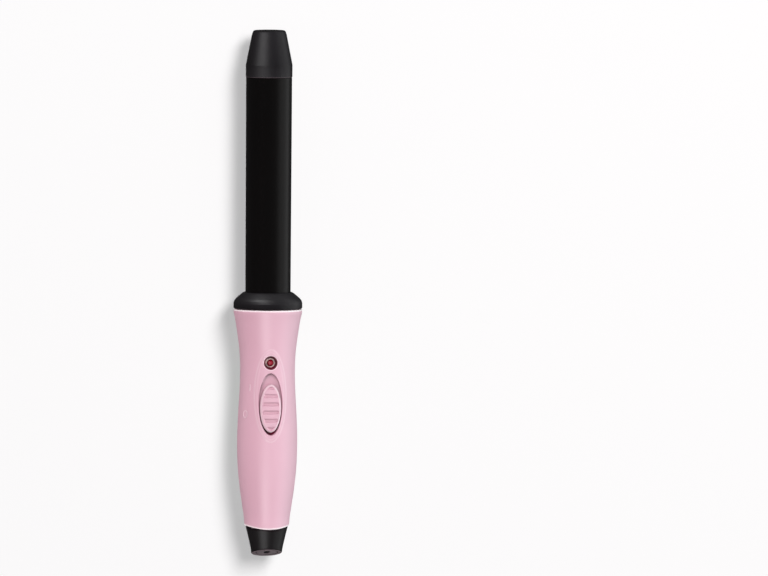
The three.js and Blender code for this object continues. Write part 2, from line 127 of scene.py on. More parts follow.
def smooth_curve(points):
    """A smooth curve through the points, as a function that takes arrays."""
    xs, ys = (np.array(column, float) for column in zip(*points))
    step = np.diff(xs)
    slope = np.diff(ys) / step
    tangent = np.empty_like(ys)
    tangent[0], tangent[-1] = slope[0], slope[-1]
    tangent[1:-1] = (slope[:-1] * step[1:] + slope[1:] * step[:-1]) / (step[1:] + step[:-1])

    def curve(x):
        x = np.asarray(x, float)
        i = np.clip(np.searchsorted(xs, x) - 1, 0, len(step) - 1)
        t = np.clip((x - xs[i]) / step[i], 0, 1)
        a, b = 2 * t**3 - 3 * t**2 + 1, t**3 - 2 * t**2 + t
        c, d = -2 * t**3 + 3 * t**2, t**3 - t**2
        return a * ys[i] + b * step[i] * tangent[i] + c * ys[i + 1] + d * step[i] * tangent[i + 1]

    return curve


handle_radius = smooth_curve(HANDLE_PROFILE)
cap_radius = smooth_curve(CAP_PROFILE)


def ease(t):
    t = np.clip(t, 0, 1)
    return t * t * (3 - 2 * t)


# ---------------------------------------------------------------- mesh helpers
def finish_mesh(name, vertices, faces, material, body, stands_for=(), tone=None, sharp=38):
    """Makes the object from millimetres in the wand frame, with soft shading split at the sharp edges.

    tone(x, y, z) paints light and shade into the colour: towards the pale colour at 1, mostly painted highlights on
    outer edges and lit faces, and towards the deep colour at -1, painted shade in inner corners, gaps and hollows.
    """
    mesh = bpy.data.meshes.new(name)
    vertices = np.asarray(vertices, float)
    points = vertices * MM + ORIGIN
    mesh.from_pydata([tuple(p) for p in points], [], [tuple(int(i) for i in f) for f in faces])
    if tone:
        values = np.clip(tone(*vertices.T), -1, 1)
        mesh.attributes.new("edge", "FLOAT", "POINT").data.foreach_set("value", values.astype(np.float32))
    bm = bmesh.new()
    bm.from_mesh(mesh)
    bmesh.ops.remove_doubles(bm, verts=bm.verts, dist=2e-7)
    bmesh.ops.recalc_face_normals(bm, faces=bm.faces)
    limit = math.radians(sharp)
    for edge in bm.edges:
        angled = len(edge.link_faces) == 2 and edge.calc_face_angle(0) > limit
        edge.smooth = not angled
    for face in bm.faces:
        face.smooth = True
    bm.to_mesh(mesh)
    bm.free()
    mesh.materials.append(material)
    obj = bpy.data.objects.new(name, mesh)
    bpy.context.scene.collection.objects.link(obj)
    weighted = obj.modifiers.new("weighted_normals", "WEIGHTED_NORMAL")
    weighted.keep_sharp = True
    weighted.weight = 100
    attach(obj, body)
    for node in stands_for:
        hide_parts(node)
    return obj


def rounded(points, steps=5):
    """A profile of (radius, height, corner) with each corner rounded by its own radius."""
    out = []
    for i, (x, y, corner) in enumerate(points):
        here = np.array([x, y], float)
        if corner <= 0 or i in (0, len(points) - 1):
            out.append(here)
            continue
        back = np.array(points[i - 1][:2], float) - here
        ahead = np.array(points[i + 1][:2], float) - here
        lb, la = np.linalg.norm(back), np.linalg.norm(ahead)
        back, ahead = back / lb, ahead / la
        angle = math.acos(float(np.clip(back @ ahead, -1, 1)))
        if angle > math.pi - 0.02:
            out.append(here)
            continue
        reach = min(corner / math.tan(angle / 2), 0.49 * lb, 0.49 * la)
        radius = reach * math.tan(angle / 2)
        middle = (back + ahead) / np.linalg.norm(back + ahead)
        centre = here + middle * radius / math.sin(angle / 2)
        start, end = here + back * reach - centre, here + ahead * reach - centre
        sweep = math.acos(float(np.clip(start @ end / radius**2, -1, 1)))
        for k in range(steps + 1):
            t = k / steps
            mix = (math.sin((1 - t) * sweep) * start + math.sin(t * sweep) * end) / math.sin(sweep)
            out.append(centre + mix)
    return np.array(out)


def along_y(r, h, angle):
    return np.stack([r * np.sin(angle), h, r * np.cos(angle)], -1)


def along_z(x, y):
    def place(r, h, angle):
        return np.stack([x + r * np.sin(angle), y + r * np.cos(angle), h + 0 * r], -1)

    return place


def on_swivel(r, h, angle):
    """h is the depth inside the slanted end face."""
    across = np.array([1.0, 0.0, 0.0])
    up = np.cross(SWIVEL_OUT, across)
    up = up if up[2] > 0 else -up
    point = SWIVEL_POINT + r[..., None] * np.sin(angle)[..., None] * across
    return point + r[..., None] * np.cos(angle)[..., None] * up - h[..., None] * SWIVEL_OUT


def revolve(profile, sides, place, closed):
    """Vertices and faces of a profile turned about an axis. A closed profile is a ring, an open one starts and ends on the axis."""
    profile = np.asarray(profile, float)
    angle = np.arange(sides) * 2 * math.pi / sides
    r, a = np.meshgrid(profile[:, 0], angle)
    h = np.meshgrid(profile[:, 1], angle)[0]
    vertices = place(r, h, a).reshape(-1, 3)
    n = len(profile)
    faces = []
    for j in range(sides):
        k = (j + 1) % sides
        for i in range(n if closed else n - 1):
            m = (i + 1) % n
            faces.append((j * n + i, k * n + i, k * n + m, j * n + m))
    return vertices, clean(vertices, faces)


def clean(vertices, faces):
    """Leaves out repeated corners, so that a quad at an axis becomes a triangle."""
    keys = [tuple(np.round(v, 5)) for v in vertices]
    out = []
    for face in faces:
        kept = []
        for i in face:
            if all(keys[i] != keys[k] for k in kept):
                kept.append(i)
        if len(kept) > 2:
            out.append(tuple(kept))
    return out


def merge(*parts):
    vertices, faces = [], []
    for v, f in parts:
        start = len(vertices)
        vertices.extend(list(v))
        faces.extend([tuple(start + i for i in face) for face in f])
    return np.array(vertices), faces


# ---------------------------------------------------------------- materials
def linear(red, green, blue):
    """A colour given as it looks on screen, from 0 to 255."""
    values = [c / 255 for c in (red, green, blue)]
    return tuple(c / 12.92 if c <= 0.04045 else ((c + 0.055) / 1.055) ** 2.4 for c in values) + (1.0,)


def paint_light_and_shade(nodes, links, colour, target, pale, deep):
    """Mixes in the pale colour, a painted highlight, where the mesh says 1 and the deep one, painted shade, where it
    says -1.
    """
    edge = nodes.new("ShaderNodeAttribute")
    edge.attribute_name = "edge"
    for end, shade in ((1.0, pale), (-1.0, deep)):
        share = nodes.new("ShaderNodeMapRange")
        share.inputs["From Max"].default_value = end
        mix = nodes.new("ShaderNodeMix")
        mix.data_type = "RGBA"
        mix.inputs["B"].default_value = shade
        links.new(edge.outputs["Fac"], share.inputs["Value"])
        links.new(share.outputs["Result"], mix.inputs["Factor"])
        links.new(colour, mix.inputs["A"])
        colour = mix.outputs["Result"]
    links.new(colour, target)


def new_material(name, colour, roughness, metallic=0.0, grain=900.0, grain_depth=0.02, rough_var=0.05, specular=0.5,
                 coat=0.0, coat_roughness=0.2, tint=0.03, edges=None):
    """A surface with a little grain: its roughness and its relief vary with one fine noise, its colour with a wider
    one.
    """
    material = bpy.data.materials.new(name)
    material.use_nodes = True
    nodes, links = material.node_tree.nodes, material.node_tree.links
    shader = nodes["Principled BSDF"]
    shader.inputs["Metallic"].default_value = metallic
    shader.inputs["Specular IOR Level"].default_value = specular
    shader.inputs["Coat Weight"].default_value = coat
    shader.inputs["Coat Roughness"].default_value = coat_roughness
    place = nodes.new("ShaderNodeTexCoord")
    fine = nodes.new("ShaderNodeTexNoise")
    fine.inputs["Scale"].default_value = grain
    fine.inputs["Detail"].default_value = 3.0
    wide = nodes.new("ShaderNodeTexNoise")
    wide.inputs["Scale"].default_value = 35.0
    wide.inputs["Detail"].default_value = 2.0
    links.new(place.outputs["Object"], fine.inputs["Vector"])
    links.new(place.outputs["Object"], wide.inputs["Vector"])
    ramp = nodes.new("ShaderNodeValToRGB")
    ramp.color_ramp.elements[0].position = 0.3
    ramp.color_ramp.elements[1].position = 0.7
    ramp.color_ramp.elements[0].color = tuple(c * (1 - tint) for c in colour[:3]) + (1.0,)
    ramp.color_ramp.elements[1].color = tuple(min(1.0, c * (1 + tint)) for c in colour[:3]) + (1.0,)
    links.new(wide.outputs["Fac"], ramp.inputs["Fac"])
    links.new(ramp.outputs["Color"], shader.inputs["Base Color"])
    spread = nodes.new("ShaderNodeMapRange")
    spread.inputs["To Min"].default_value = max(0.02, roughness - rough_var)
    spread.inputs["To Max"].default_value = min(1.0, roughness + rough_var)
    links.new(fine.outputs["Fac"], spread.inputs["Value"])
    links.new(spread.outputs["Result"], shader.inputs["Roughness"])
    # edges holds the painted highlight colour and the painted shade colour that the mesh's tone mixes in.
    if edges:
        paint_light_and_shade(nodes, links, ramp.outputs["Color"], shader.inputs["Base Color"], *edges)
    bump = nodes.new("ShaderNodeBump")
    bump.inputs["Strength"].default_value = 0.35
    bump.inputs["Distance"].default_value = grain_depth * MM
    links.new(fine.outputs["Fac"], bump.inputs["Height"])
    links.new(bump.outputs["Normal"], shader.inputs["Normal"])
    return material


# Each edges pair is a painted highlight colour and a painted shade colour for the tone of the pieces.
PINK = new_material("handle_pink", linear(221, 182, 197), 0.42, grain=1500, grain_depth=0.01, specular=0.6,
                    tint=0.012, edges=(linear(255, 246, 249), linear(104, 10, 44)))
CHARCOAL = new_material("charcoal_plastic", linear(27, 26, 29), 0.45, grain=1400, grain_depth=0.02, specular=0.5,
                        edges=(linear(140, 126, 132), linear(7, 6, 8)))
BLACK = new_material("black_plastic", linear(24, 23, 24), 0.4, grain=1400, grain_depth=0.02, specular=0.35,
                     edges=(linear(140, 124, 130), linear(14, 3, 6)))
COAT = new_material("barrel_coat", linear(10, 9, 9), 0.36, grain=2600, grain_depth=0.004, rough_var=0.04, specular=0.35)
LENS = new_material("light_red", linear(128, 8, 30), 0.12, grain=300, grain_depth=0.002, rough_var=0.02, coat=0.6,
                    coat_roughness=0.05, edges=(linear(215, 70, 100), linear(44, 3, 12)))
RIM = new_material("light_rim", linear(246, 214, 210), 0.35, grain=900, grain_depth=0.004)
STEEL = new_material("steel", linear(196, 197, 200), 0.3, metallic=1.0, grain=700, grain_depth=0.01)
ALUMINIUM = new_material("spreader_aluminium", linear(205, 207, 210), 0.38, metallic=1.0, grain=500)
CERAMIC = new_material("heater_ceramic", linear(231, 226, 212), 0.65, grain=1200)
MOUNT = new_material("mount_plastic", linear(107, 74, 50), 0.6, grain=900)
SLEEVE = new_material("wire_sleeve", linear(218, 218, 212), 0.55, grain=1200)
NYLON = new_material("inner_plastic", linear(228, 225, 218), 0.5, grain=1200)
BOARD = new_material("board_laminate", linear(47, 107, 60), 0.45, grain=700)
BRASS = new_material("brass", linear(201, 168, 86), 0.28, metallic=1.0, grain=600)

NODE_MATERIALS = {
    "tip_anchor_plate": STEEL, "tip_anchor_screw": STEEL, "heat_spreader_front": ALUMINIUM,
    "heat_spreader_rear": ALUMINIUM, "ceramic_heater": CERAMIC, "thermal_fuse": CERAMIC,
    "barrel_mount": MOUNT, "heater_lead_left": SLEEVE, "heater_lead_right": SLEEVE,
    "handle_screw_front": STEEL, "handle_screw_rear": STEEL, "switch_lever": NYLON, "switch_body": BLACK,
    "circuit_board": BOARD, "board_screw_front": STEEL, "board_screw_rear": STEEL,
    "light_resistor": CERAMIC, "light_leg_left": STEEL, "light_leg_right": STEEL, "swivel_ring": BRASS,
    "swivel_pin": BRASS, "brush_holder": NYLON, "pin_brush": BRASS, "ring_brush": BRASS,
    "supply_wire_left": BLACK, "supply_wire_right": SLEEVE,
}


def paint_inner_nodes():
    for node, material in NODE_MATERIALS.items():
        obj = frame["nodes"][node]
        obj.data.materials.clear()
        obj.data.materials.append(material)


# ---------------------------------------------------------------- barrel, tip and collar
def build_barrel():
    low, high, bore = BARREL_LOW[1], BARREL_HIGH[1], BARREL_R - 1.0
    profile = rounded([
        (bore, 0, 0), (bore, low, 0.15), (BARREL_R - 0.12, low, 0.15), (BARREL_R + 0.05, high, 0.2),
        (bore, high, 0.2), (bore, 0.01, 0),
    ])
    part = revolve(profile, 128, along_y, True)
    return finish_mesh("barrel_tube", *part, COAT, "wand", ["barrel"])


def build_tip():
    seam, top = BARREL_HIGH[1] + 0.12, TIP_HIGH[1]
    spigot = BARREL_R - 1.3
    profile = rounded([
        (0, TIP_LOW[1] + 0.3, 0), (3.2, TIP_LOW[1] + 0.3, 0.1), (3.2, 104.3, 0.3), (5.4, 104.3, 0.5), (6.6, 98.0, 0.5),
        (6.6, TIP_LOW[1], 0.1), (spigot, TIP_LOW[1], 0.2), (spigot, seam, 0), (9.66, seam, 0.22),
        (9.66, 93.8, 1.2), (7.2, 106.3, 1.5), (6.6, top, 1.1), (0, top, 0),
    ], 7)
    part = revolve(profile, 128, along_y, False)

    # Painted highlight along the seam with the barrel, painted shade on the plain band just in front of it.
    def tone(x, y, z):
        return 0.4 * ease((seam + 0.25 - y) / 0.15) - 0.45 * ease((y - seam - 0.2) / 0.1) * ease((95.2 - y) / 1.5)

    finish_mesh("tip_shell", *part, CHARCOAL, "wand", ["cool_tip"], tone)


def build_collar():
    rear, front = COLLAR_LOW[1], COLLAR_HIGH[1]
    seat = rear + 3.9
    bore = BARREL_R + 0.25
    profile = rounded([
        (bore, front - 1, 0), (bore, rear, 0.1), (11.9, rear, 0.2), (11.9, seat, 0), (14.02, seat, 0.1),
        (COLLAR_R, seat + 0.35, 0.25), (COLLAR_R, -4.85, 0.15), (13.93, -3.8, 0.9), (13.2, -2.9, 1.2),
        (12.0, -1.85, 2.0), (10.7, -0.8, 1.2), (bore + 0.25, front, 0.2), (bore, front, 0.1), (bore, front - 1, 0),
    ], 7)
    part = revolve(profile[:-1], 160, along_y, True)
    # The tone paints shade on the band behind the crease.
    return finish_mesh("collar_ring", *part, CHARCOAL, "wand", ["barrel_collar"],
                       lambda x, y, z: -0.6 * ease(-4.8 - y))


# ---------------------------------------------------------------- handle halves
FRONT_LIP_Y = -7.4
LIP = 0.45
SEAM_LIP = 0.35
SEAM_GAP = 0.15  # half the gap between the handle and the end cap
HALF_GAP = 0.06  # half the gap between the two halves


def seam_y(x):
    return SEAM_SIDE_Y - SEAM_DIP + SEAM_DIP * (x / SEAM_HALF) ** 2


def pad_inside(x, y):
    """How far a point is inside the faint oval pad."""
    reach = np.sqrt((x / PAD_A) ** 2 + ((y - PAD_Y) / PAD_B) ** 2)
    slope = np.sqrt((x / PAD_A**2) ** 2 + ((y - PAD_Y) / PAD_B**2) ** 2) / np.maximum(reach, 1e-6)
    return (1 - reach) / np.maximum(slope, 1e-6)


def pad_height(x, y, scale):
    """The pad is on the switch side only."""
    return scale * PAD_RISE * ease(pad_inside(x, y) / 0.7 + 0.5)


def shell_grid():
    """Angles and nominal Y values of the grid that both halves share."""
    edge = [0.0, 0.09, 0.2, 0.35]
    inner = np.linspace(0.9, 90, 76)[1:]
    half_angles = np.concatenate([[math.degrees(e / 12) for e in edge], inner[:-1]])
    left = -90 + math.degrees(HALF_GAP / 12) + half_angles
    angles = np.concatenate([left, [0.0], -left[::-1]])
    ys = np.concatenate([
        np.linspace(-99.5, -90, 34)[:-1], np.linspace(-90, -66, 50)[:-1], np.linspace(-66, -24, 130)[:-1],
        np.linspace(-24, FRONT_LIP_Y - LIP, 50),
    ])
    return np.radians(angles), ys


def outer_point(angle, y, pad):
    """The handle's outside at an angle from the switch, with the pad and the eased parting edges."""
    radius = handle_radius(y)
    x = radius * np.sin(angle)
    radius = radius + pad_height(x, y, pad)
    from_edge = (math.pi / 2 - np.abs(angle)) * radius - HALF_GAP
    radius = radius - 0.14 * (1 - np.sqrt(1 - (1 - np.clip(from_edge / 0.35, 0, 1)) ** 2))
    return np.stack([radius * np.sin(angle), y + 0 * angle, radius * np.cos(angle)], -1)


def inner_radius(y):
    middle = handle_radius(y) - WALL
    front = ease((y + 11.8) / 0.4)
    rear = ease((-94.3 - y) / 0.6)
    return (middle * (1 - front) + 12.25 * front) * (1 - rear) + 6.95 * rear


def inner_point(angle, y):
    radius = inner_radius(y)
    return np.stack([radius * np.sin(angle), y + 0 * angle, radius * np.cos(angle)], -1)


def half_shell(windows, pad):
    """One half of the handle, facing +Z, as a closed wall with the given windows cut through it."""
    angles, nominal = shell_grid()
    cols, rows = len(angles), len(nominal)
    grid_a, grid_n = np.meshgrid(angles, nominal, indexing="ij")
    follow = ease((-90 - grid_n) / 9.5)
    side_x = 9.05 * np.sin(grid_a)
    grid_y = grid_n + follow * (seam_y(side_x) + SEAM_GAP + SEAM_LIP - nominal[0])
    outer = outer_point(grid_a, grid_y, pad)
    inner = inner_point(grid_a, grid_y)
    vertices = list(outer.reshape(-1, 3)) + list(inner.reshape(-1, 3))
    faces = []

    def o(i, j):
        return i * rows + j

    def n(i, j):
        return cols * rows + i * rows + j

    def in_window(i, j):
        return any(w["c0"] <= i < w["c1"] and w["r0"] <= j < w["r1"] for w in windows)

    for w in windows:
        w["c0"] = int(np.searchsorted(angles, -w["spread"]))
        w["c1"] = cols - 1 - w["c0"]
        w["r0"] = int(np.searchsorted(nominal, w["y0"]))
        w["r1"] = int(np.searchsorted(nominal, w["y1"]))
    for i in range(cols - 1):
        for j in range(rows - 1):
            if not in_window(i, j):
                faces.append((o(i, j), o(i + 1, j), o(i + 1, j + 1), o(i, j + 1)))
                faces.append((n(i, j), n(i + 1, j), n(i + 1, j + 1), n(i, j + 1)))
    # Lips at both ends, as strips from the outside round to the inside.
    for row, make in ((rows - 1, front_lip), (0, rear_lip)):
        columns = []
        for i in range(cols):
            start = len(vertices)
            extra = make(outer[i, row], inner[i, row], angles[i])
            vertices.extend(extra)
            columns.append([o(i, row), *range(start, start + len(extra)), n(i, row)])
        for a, b in zip(columns, columns[1:]):
            for k in range(len(a) - 1):
                faces.append((a[k], b[k], b[k + 1], a[k + 1]))
        for column in (columns[0], columns[-1]):
            faces.append(tuple(column))
    for i in (0, cols - 1):
        for j in range(rows - 1):
            faces.append((o(i, j), o(i, j + 1), n(i, j + 1), n(i, j)))
    for w in windows:
        add_window(w, angles, grid_y, o, n, vertices, faces, pad)
    return np.array(vertices), faces


def front_lip(outer, inner, angle):
    radius = math.hypot(outer[0], outer[2])
    points = []
    for k in range(1, 6):
        turn = k / 5 * math.pi / 2
        r = radius - LIP * (1 - math.cos(turn))
        y = FRONT_LIP_Y - LIP + LIP * math.sin(turn)
        points.append(np.array([r * math.sin(angle), y, r * math.cos(angle)]))
    r = math.hypot(inner[0], inner[2])
    points.append(np.array([r * math.sin(angle), FRONT_LIP_Y, r * math.cos(angle)]))
    return points


def rear_lip(outer, inner, angle):
    radius = math.hypot(outer[0], outer[2])
    points = []
    for k in range(1, 6):
        turn = k / 5 * math.pi / 2
        r = radius - SEAM_LIP * (1 - math.cos(turn))
        y = outer[1] - SEAM_LIP * math.sin(turn)
        points.append(np.array([r * math.sin(angle), y, r * math.cos(angle)]))
    r = math.hypot(inner[0], inner[2])
    points.append(np.array([r * math.sin(angle), outer[1] - SEAM_LIP, r * math.cos(angle)]))
    return points


def add_window(w, angles, grid_y, o, n, vertices, faces, pad):
    """Fills a window of the grid with loops that run from its frame to the opening, through it and back inside."""
    c0, c1, r0, r1 = w["c0"], w["c1"], w["r0"], w["r1"]
    frame_cells = (
        [(i, r0) for i in range(c0, c1)] + [(c1, j) for j in range(r0, r1)]
        + [(i, r1) for i in range(c1, c0, -1)] + [(c0, j) for j in range(r1, r0, -1)]
    )
    a = np.array([angles[i] for i, _ in frame_cells])
    y = np.array([grid_y[i, j] for i, j in frame_cells])
    centre_y = w["centre_y"]
    wide, long_ = abs(a).max(), max(abs(y - centre_y))
    turn = np.arctan2((y - centre_y) / long_, a / wide)
    cos, sin = np.cos(turn), np.sin(turn)

    def surface_loops(half_x, half_y, surface, radius_at, shares):
        ex, ey = half_x * cos, centre_y + half_y * sin
        ea = np.arcsin(ex / radius_at(ey))
        for share in shares:
            t = ease(share) * 0.5 + share * 0.5
            yield surface(a + (ea - a) * t, y + (ey - y) * t)

    loops = list(surface_loops(*w["mouth"], lambda p, q: outer_point(p, q, pad), handle_radius,
                               np.linspace(0, 1, w["rings"] + 1)[1:]))
    mouth_top = outer_point

    def on_surface(x, yy):
        radius = handle_radius(yy)
        return mouth_top(np.arcsin(x / radius), yy, pad)[..., 2]

    for step in w["steps"]:
        x = step["x"](cos, sin)
        yy = step["y"](cos, sin)
        z = on_surface(x, yy) - step["drop"] if "drop" in step else np.full_like(x, step["z"])
        loops.append(np.stack([x, yy, z], -1))
    loops += list(surface_loops(*w["inner_mouth"], inner_point, inner_radius, [1.0, 0.5]))
    previous = [o(i, j) for i, j in frame_cells]
    count = len(previous)
    indexed = []
    for loop in loops:
        start = len(vertices)
        vertices.extend(list(loop))
        indexed.append(list(range(start, start + count)))
    indexed.append([n(i, j) for i, j in frame_cells])
    for ring in indexed:
        for k in range(count):
            m = (k + 1) % count
            faces.append((previous[k], previous[m], ring[m], ring[k]))
        previous = ring


def oval(a, b, y):
    return {"x": lambda c, s: a * c, "y": lambda c, s: y + b * s}


def stem_slot(half_x, half_y, y):
    """A rectangle with rounded corners."""
    def square(c, s):
        reach = np.maximum(np.abs(c) ** 6 + np.abs(s) ** 6, 1e-9) ** (-1 / 6)
        return c * reach, s * reach

    return {"x": lambda c, s: half_x * square(c, s)[0], "y": lambda c, s: y + half_y * square(c, s)[1]}


def shell_tone(x, y, z):
    """Painted highlight on the outer rims at both ends, painted shade inside along the rear seam."""
    outside = np.hypot(x, z) > handle_radius(y) - LIP - 0.05
    front = ease((y - FRONT_LIP_Y + 0.75) / 0.3)
    rear = ease((seam_y(x) + SEAM_GAP + 0.75 - y) / 0.3)
    return np.where(outside, np.maximum(front, rear), -1.0 * rear)


def front_tone(x, y, z):
    """Also painted shade in the recess and in the hole of the light, a painted highlight round the mouth of the hole,
    and a faint painted double highlight line along the pad.
    """
    tone = shell_tone(x, y, z)
    angle = np.arctan2(x, z)
    depth = outer_point(angle, y, 1.0)[..., 2] - z
    reach = np.hypot(x / RECESS_A, (y - RECESS_Y) / RECESS_B)
    low = ease((RECESS_Y + 1.0 - y) / 9)
    wall = (0.25 + 0.75 * low) * ease((depth - 0.3) / 0.9)
    floor_shade = 0.2 + 0.1 * ease((RECESS_Y + 11 - y) / 5)
    recess = np.where(reach > 0.86, np.maximum(wall, floor_shade), floor_shade)
    in_recess = (reach < 1.06) & (z > RECESS_FLOOR_Z - 0.05) & (depth > 0.05)
    tone = np.where(in_recess, -recess, tone)
    from_light = np.hypot(x, y - LIGHT_Y)
    hole = (from_light < 2.75) & (depth > 0.35)
    tone = np.where(hole, -1.0, tone)
    tone = np.where((from_light < 3.3) & ~hole & (depth < 0.35) & (z > 9), 0.55 * ease((3.3 - from_light) / 0.2), tone)
    pad = pad_inside(x, y)
    pad_highlight = 0.22 * np.exp(-(pad / 0.28) ** 2) + 0.14 * np.exp(-((pad - 1.0) / 0.28) ** 2)
    return np.where((np.abs(tone) < 0.05) & (depth < 0.2) & (z > 6), pad_highlight, tone)


def recess_window():
    edge, foot = 0.38, 0.5
    steps = []
    for k in range(1, 6):
        t = k / 5 * math.pi / 2
        grow = edge * (1 - math.sin(t))
        steps.append({**oval(RECESS_A + grow, RECESS_B + grow, RECESS_Y), "drop": edge * (1 - math.cos(t))})
    for k in range(0, 6):
        t = k / 5 * math.pi / 2
        shrink = foot * (1 - math.cos(t)) + 0.04
        z = RECESS_FLOOR_Z + foot * (1 - math.sin(t))
        steps.append({**oval(RECESS_A - shrink, RECESS_B - shrink, RECESS_Y), "z": z})
    stem_y = RECESS_Y + 0.3
    for t in (0.25, 0.5, 0.75):
        a = (RECESS_A - 0.6) * (1 - t) + 1.7 * t
        b = (RECESS_B - 0.6) * (1 - t) + 5.1 * t
        steps.append({**oval(a, b, RECESS_Y + (stem_y - RECESS_Y) * t), "z": RECESS_FLOOR_Z})
    steps.append({**stem_slot(1.6, 5.1, stem_y), "z": RECESS_FLOOR_Z})
    steps.append({**stem_slot(1.6, 5.1, stem_y), "z": RECESS_FLOOR_Z - 1.6})
    steps.append({**oval(3.4, 10.0, RECESS_Y), "z": RECESS_FLOOR_Z - 1.6})
    steps.append({**oval(5.2, RECESS_B + 0.6, RECESS_Y), "z": RECESS_FLOOR_Z - 1.6})
    return {
        "spread": math.radians(37), "y0": RECESS_Y - 14.6, "y1": BETWEEN_Y, "centre_y": RECESS_Y,
        "mouth": (RECESS_A + edge, RECESS_B + edge), "inner_mouth": (5.35, RECESS_B + 1.0), "rings": 14,
        "steps": steps,
    }


def light_window():
    steps = []
    for radius, drop in ((3.12, 0.03), (2.98, 0.12), (2.72, 0.42), (2.6, 0.56), (LIGHT_HOLE_R, 0.72)):
        steps.append({**oval(radius, radius, LIGHT_Y), "drop": drop})
    steps.append({**oval(LIGHT_HOLE_R, LIGHT_HOLE_R, LIGHT_Y), "drop": 1.3})
    for radius, z in ((LIGHT_HOLE_R, 8.75), (2.4, 8.6), (2.1, 8.6), (2.05, 8.5), (2.05, 7.8), (3.1, 7.8), (3.1, 9.2)):
        steps.append({**oval(radius, radius, LIGHT_Y), "z": z})
    return {
        "spread": math.radians(23), "y0": BETWEEN_Y, "y1": LIGHT_Y + 4.0, "centre_y": LIGHT_Y,
        "mouth": (3.25, 3.25), "inner_mouth": (3.15, 3.15), "rings": 8, "steps": steps,
    }


def screw_window(y):
    steps = []
    for k in range(1, 5):
        t = k / 4 * math.pi / 2
        radius = 2.8 + 0.3 * (1 - math.sin(t))
        steps.append({**oval(radius, radius, y), "drop": 0.3 * (1 - math.cos(t))})
    for radius, z in ((2.8, 6.3), (2.75, 6.22), (2.6, 6.2), (1.6, 6.2), (1.55, 6.1), (1.55, 0.2), (1.7, 0.1),
                      (3.8, 0.1), (3.9, 0.2)):
        steps.append({**oval(radius, radius, y), "z": z})
    return {
        "spread": math.radians(26), "y0": y - 5.2, "y1": y + 5.2, "centre_y": y, "mouth": (3.1, 3.1),
        "inner_mouth": (3.9, 3.9), "rings": 7, "steps": steps,
    }


def tube(radius, bore, y, low, high, sides=40):
    """A plain hollow post inside the handle, standing along Z."""
    profile = [(bore, high - 1.2), (bore, low), (radius, low), (radius, high), (0.001, high), (0.001, high - 1.2)]
    return revolve(profile, sides, along_z(0, y), True)


def build_handle():
    screws = [local_box(n) for n in ("handle_screw_front", "handle_screw_rear")]
    posts = [local_box(n) for n in ("board_screw_front", "board_screw_rear")]
    wall = half_shell([recess_window(), light_window()], 1.0)
    bosses = [tube(2.9, 1.55, (low[1] + high[1]) / 2, 0.15, 10.2) for low, high in screws]
    bosses += [tube(2.2, 1.05, (low[1] + high[1]) / 2, 2.1, 8.3) for low, high in posts]
    front = finish_mesh("handle_front", *merge(wall, *bosses), PINK, "wand", ["handle_front_shell"], front_tone)
    windows = [screw_window((low[1] + high[1]) / 2) for low, high in screws]
    vertices, faces = half_shell(windows, 0.0)
    vertices = vertices * np.array([-1.0, 1.0, -1.0])
    rear = finish_mesh("handle_rear", vertices, faces, PINK, "wand", ["handle_rear_shell"], shell_tone)
    for shell in (front, rear):
        shell.visible_diffuse = False  # so that the pink does not tint the floor


# ---------------------------------------------------------------- moulded on and off marks
def on_handle(u, v, rise, angle, y):
    """A point near the handle's outside: u across and v along, in millimetres from a place on it."""
    radius = handle_radius(y + v)
    a = angle + u / radius
    return np.stack([(radius + rise) * np.sin(a), y + v, (radius + rise) * np.cos(a)], -1)


def ridge(path, width, height, angle, y, closed):
    """A low rounded ridge along a path on the handle's outside."""
    path = np.array(path, float)
    ahead = np.roll(path, -1, 0) - np.roll(path, 1, 0)
    if not closed:
        ahead[0], ahead[-1] = path[1] - path[0], path[-1] - path[-2]
    ahead = ahead / np.linalg.norm(ahead, axis=1)[:, None]
    side = np.stack([-ahead[:, 1], ahead[:, 0]], -1)
    section = [(-0.5, -0.3), (-0.5, 0.35), (-0.42, 0.72), (-0.25, 0.95), (0, 1.0), (0.25, 0.95), (0.42, 0.72),
               (0.5, 0.35), (0.5, -0.3)]
    vertices, count = [], len(section)
    for point, across in zip(path, side):
        for s, h in section:
            uv = point + across * s * width
            vertices.append(on_handle(uv[0], uv[1], h * height, angle, y))
    faces = []
    steps = len(path) if closed else len(path) - 1
    for i in range(steps):
        j = (i + 1) % len(path)
        for k in range(count):
            m = (k + 1) % count
            faces.append((i * count + k, j * count + k, j * count + m, i * count + m))
    if not closed:
        faces.append(tuple(range(count)))
        faces.append(tuple(range((len(path) - 1) * count, len(path) * count)))
    return np.array(vertices), faces


def build_marks():
    ring = [(1.15 * math.cos(t), 1.45 * math.sin(t)) for t in np.arange(40) * math.pi / 20]
    off = ridge(ring, 0.5, 0.16, *OFF_MARK, True)
    bar = [(0, v) for v in np.linspace(-1.4, 1.4, 12)]
    on = ridge(bar, 0.55, 0.16, *ON_MARK, False)
    for name, mark in (("mark_off", off), ("mark_on", on)):
        piece = finish_mesh(name, *mark, PINK, "wand", tone=lambda x, y, z: 0.3 + 0 * x)


# ---------------------------------------------------------------- switch knob
GROOVES = [(i - 2.5) * 3.42 + 0.2 for i in range(6)]


def knob_inside(x, v):
    """How far a point is inside the oval rim."""
    reach = np.sqrt((x / KNOB_A) ** 2 + (v / KNOB_B) ** 2)
    slope = np.sqrt((x / KNOB_A**2) ** 2 + (v / KNOB_B**2) ** 2) / np.maximum(reach, 1e-6)
    return np.maximum((1 - reach) / np.maximum(slope, 1e-6), 0)


def knob_groove(x, v):
    """From 0 on the ribs to 1 in the grooves."""
    groove = np.zeros_like(x)
    for centre in GROOVES:
        fall = ease((centre + 0.95 - v) / 0.9)
        rise = ease((v - centre + 0.95) / 0.35)
        groove = np.maximum(groove, fall * rise)
    return groove * ease((knob_inside(x, v) - 0.9) / 0.35)


